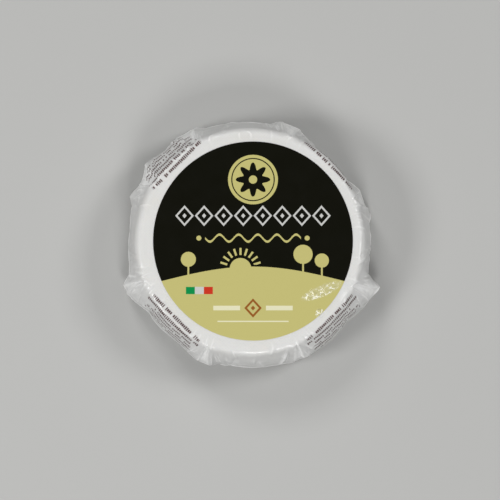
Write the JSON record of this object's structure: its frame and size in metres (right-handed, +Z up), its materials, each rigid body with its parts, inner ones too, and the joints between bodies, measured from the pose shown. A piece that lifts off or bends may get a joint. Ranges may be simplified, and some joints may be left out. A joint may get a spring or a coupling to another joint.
{
  "type": "wrapped camembert cheese",
  "caption": "Whole round soft cheese shut in a printed translucent film wrap, folded into ears round its lower edge.",
  "frame": {"origin": "centre of the flat underside, on the cheese's axis", "axes": "+Z up through the printed top face, +Y towards the top of the print, +X to its right"},
  "size_m": [0.1262, 0.1223, 0.032],
  "materials": {
    "wrapping_film": "printed translucent waxed film, soft gloss"
  },
  "bodies": {
    "root": {"wrapped_cheese": "wrapping_film"}
  },
  "joints": []
}
